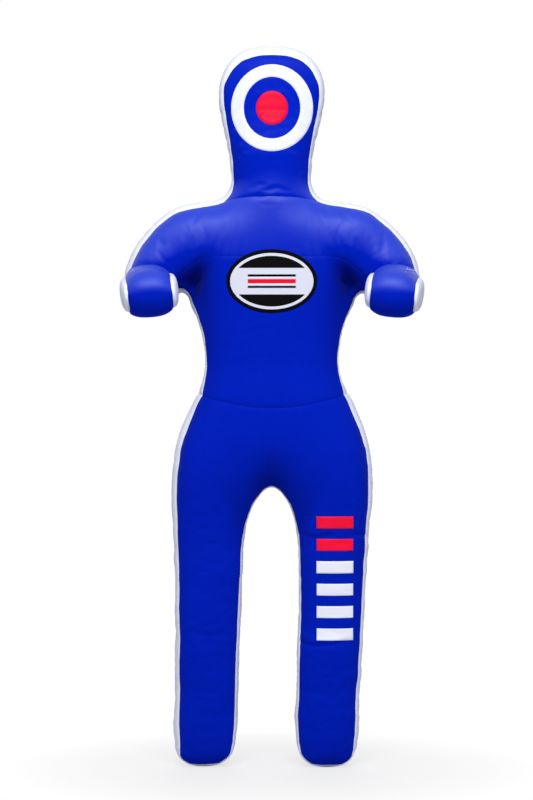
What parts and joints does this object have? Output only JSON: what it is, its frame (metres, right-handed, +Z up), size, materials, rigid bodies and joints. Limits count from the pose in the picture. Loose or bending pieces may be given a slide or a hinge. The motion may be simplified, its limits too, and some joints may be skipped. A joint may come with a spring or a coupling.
{
  "type": "grappling dummy",
  "caption": "Stuffed human-shaped grappling dummy with forearms held forward, straight legs, a round target on its face and an oval patch on its chest.",
  "frame": {"origin": "on the floor, under the middle of the whole dummy's box; the feet stand on it", "axes": "+Z up through the crown, +X to the dummy's own left, and the dummy faces -Y"},
  "size_m": [0.773, 0.37, 1.778],
  "materials": {
    "blue_cover": "satin",
    "white_cover": "satin",
    "stuffing": "matte",
    "target_white": "satin",
    "target_red": "satin",
    "patch_black": "matte",
    "patch_white": "satin",
    "bar_white": "satin",
    "bar_red": "satin",
    "zipper_tape": "matte",
    "zipper_teeth": "satin",
    "zipper_metal": "satin"
  },
  "bodies": {
    "torso": {"torso_yoke_panel": "blue_cover", "torso_belly_panel": "blue_cover", "torso_back_panel": "blue_cover", "torso_gusset": "white_cover", "torso_stuffing": "stuffing", "chest_patch_border": "patch_black", "chest_patch_field": "patch_white", "zipper_tape": "zipper_tape", "zipper_teeth": "zipper_teeth", "zipper_stops": "zipper_metal"},
    "head": {"head_front_panel": "blue_cover", "head_back_panel": "blue_cover", "head_gusset": "white_cover", "head_stuffing": "stuffing", "head_target_ring": "target_white", "head_target_disc": "target_red"},
    "pelvis": {"pelvis_front_panel": "blue_cover", "pelvis_back_panel": "blue_cover", "pelvis_gusset": "white_cover", "pelvis_stuffing": "stuffing"},
    "zipper_slider": {"zipper_slider": "zipper_metal"},
    "zipper_pull": {"zipper_pull": "zipper_metal"},
    "left_upper_arm": {"left_upper_arm_front_panel": "blue_cover", "left_upper_arm_back_panel": "blue_cover", "left_upper_arm_gusset": "white_cover", "left_upper_arm_stuffing": "stuffing"},
    "left_forearm": {"left_forearm_upper_panel": "blue_cover", "left_forearm_lower_panel": "blue_cover", "left_forearm_side_panels": "white_cover", "left_forearm_stuffing": "stuffing"},
    "left_thigh": {"left_thigh_front_panel": "blue_cover", "left_thigh_back_panel": "blue_cover", "left_thigh_gusset": "white_cover", "left_thigh_stuffing": "stuffing", "left_thigh_white_bars": "bar_white", "left_thigh_red_bars": "bar_red"},
    "left_lower_leg": {"left_lower_leg_front_panel": "blue_cover", "left_lower_leg_back_panel": "blue_cover", "left_lower_leg_gusset": "white_cover", "left_lower_leg_stuffing": "stuffing"},
    "right_upper_arm": {"right_upper_arm_front_panel": "blue_cover", "right_upper_arm_back_panel": "blue_cover", "right_upper_arm_gusset": "white_cover", "right_upper_arm_stuffing": "stuffing"},
    "right_forearm": {"right_forearm_upper_panel": "blue_cover", "right_forearm_lower_panel": "blue_cover", "right_forearm_side_panels": "white_cover", "right_forearm_stuffing": "stuffing"},
    "right_thigh": {"right_thigh_front_panel": "blue_cover", "right_thigh_back_panel": "blue_cover", "right_thigh_gusset": "white_cover", "right_thigh_stuffing": "stuffing"},
    "right_lower_leg": {"right_lower_leg_front_panel": "blue_cover", "right_lower_leg_back_panel": "blue_cover", "right_lower_leg_gusset": "white_cover", "right_lower_leg_stuffing": "stuffing"}
  },
  "joints": [
    {"name": "neck_nod", "type": "hinge", "parent": "torso", "child": "head", "pos_m": [0, 0.055, 1.418], "axis": [1, 0, 0], "range_deg": [-20, 25]},
    {"name": "waist_bend", "type": "hinge", "parent": "torso", "child": "pelvis", "pos_m": [0, 0.055, 0.985], "axis": [-1, 0, 0], "range_deg": [-14, 30]},
    {"name": "left_shoulder_swing", "type": "hinge", "parent": "torso", "child": "left_upper_arm", "pos_m": [0.16, 0.055, 1.29], "axis": [-1, 0, 0], "range_deg": [-30, 40]},
    {"name": "left_elbow_bend", "type": "hinge", "parent": "left_upper_arm", "child": "left_forearm", "pos_m": [0.303, 0.055, 1.18], "axis": [-1, 0, 0], "range_deg": [-20, 35]},
    {"name": "left_hip_bend", "type": "hinge", "parent": "pelvis", "child": "left_thigh", "pos_m": [0.155, 0.055, 0.7], "axis": [-1, 0, 0], "range_deg": [-10, 45]},
    {"name": "left_knee_bend", "type": "hinge", "parent": "left_thigh", "child": "left_lower_leg", "pos_m": [0.155, 0.055, 0.32], "axis": [1, 0, 0], "range_deg": [0, 50]},
    {"name": "right_shoulder_swing", "type": "hinge", "parent": "torso", "child": "right_upper_arm", "pos_m": [-0.16, 0.055, 1.29], "axis": [-1, 0, 0], "range_deg": [-30, 40]},
    {"name": "right_elbow_bend", "type": "hinge", "parent": "right_upper_arm", "child": "right_forearm", "pos_m": [-0.303, 0.055, 1.18], "axis": [-1, 0, 0], "range_deg": [-20, 35]},
    {"name": "right_hip_bend", "type": "hinge", "parent": "pelvis", "child": "right_thigh", "pos_m": [-0.155, 0.055, 0.7], "axis": [-1, 0, 0], "range_deg": [-10, 45]},
    {"name": "right_knee_bend", "type": "hinge", "parent": "right_thigh", "child": "right_lower_leg", "pos_m": [-0.155, 0.055, 0.32], "axis": [1, 0, 0], "range_deg": [0, 50]},
    {"name": "zipper_slide", "type": "slide", "parent": "torso", "child": "zipper_slider", "axis": [0, 0, -1], "range_m": [0, 0.1854]},
    {"name": "zipper_pull_flip", "type": "hinge", "parent": "zipper_slider", "child": "zipper_pull", "pos_m": [0, 0.18, 1.2477], "axis": [1, 0, 0], "range_deg": [0, 160]}
  ]
}
